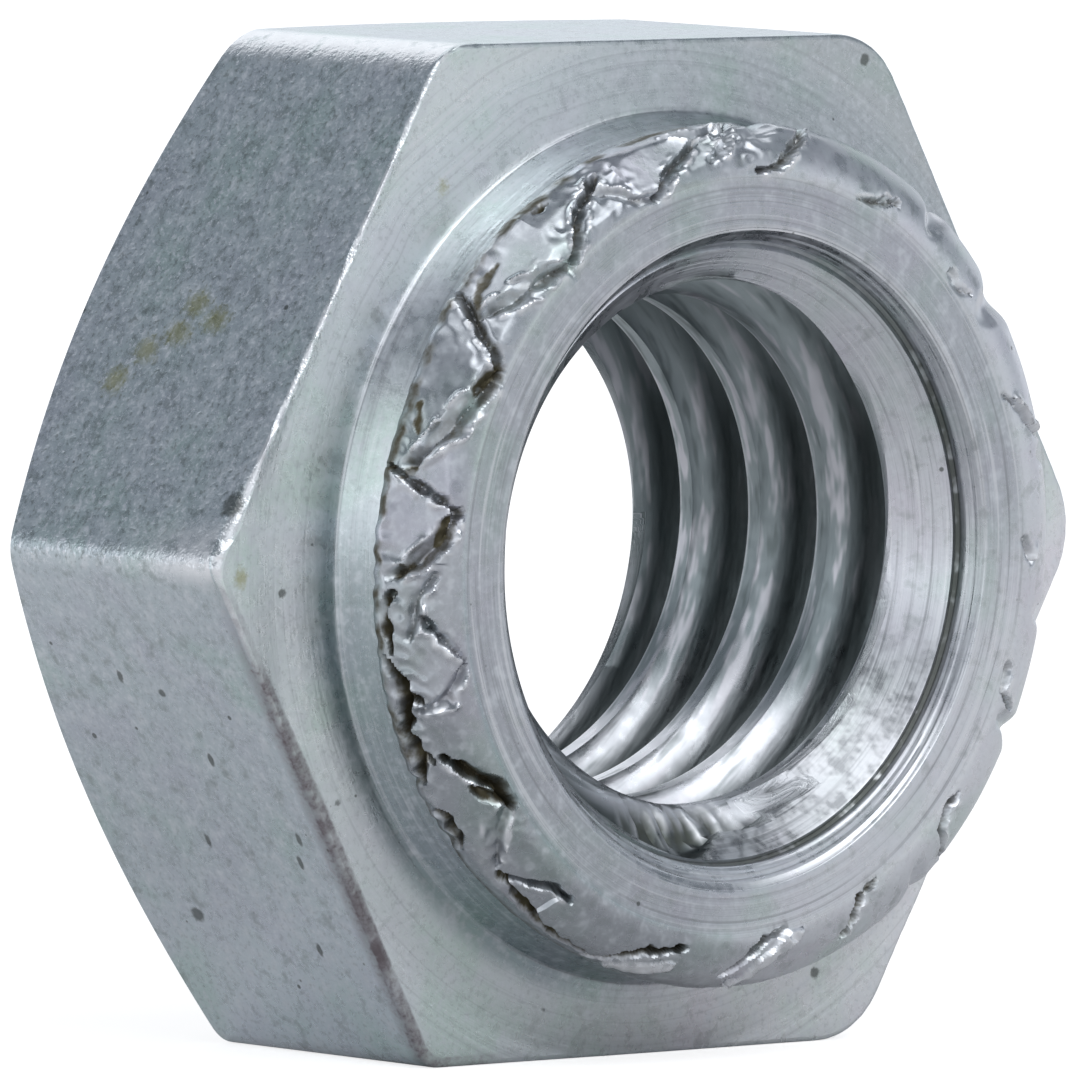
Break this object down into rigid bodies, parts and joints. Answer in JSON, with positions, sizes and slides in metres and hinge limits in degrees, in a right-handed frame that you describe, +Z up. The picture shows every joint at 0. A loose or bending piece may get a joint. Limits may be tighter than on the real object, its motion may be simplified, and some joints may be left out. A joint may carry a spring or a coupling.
{
  "type": "self clinching nut",
  "caption": "Hexagonal self clinching nut with a knurled collar that is pressed into sheet metal to give it a strong metric thread.",
  "frame": {"origin": "on the thread axis, in the plane of the shoulder that lands on the sheet", "axes": "the knurled collar points along -Y and the hexagon lies along +Y; two flats of the hexagon face up and down, +Z up; two of its corners lie on the X axis"},
  "size_m": [0.0114, 0.005, 0.01],
  "materials": {
    "zinc_plated_steel": "bright zinc plating with a bluish grey cast, worn edges and brown dirt in the knurl"
  },
  "bodies": {
    "root": {"clinch_nut": "zinc_plated_steel"}
  },
  "joints": []
}
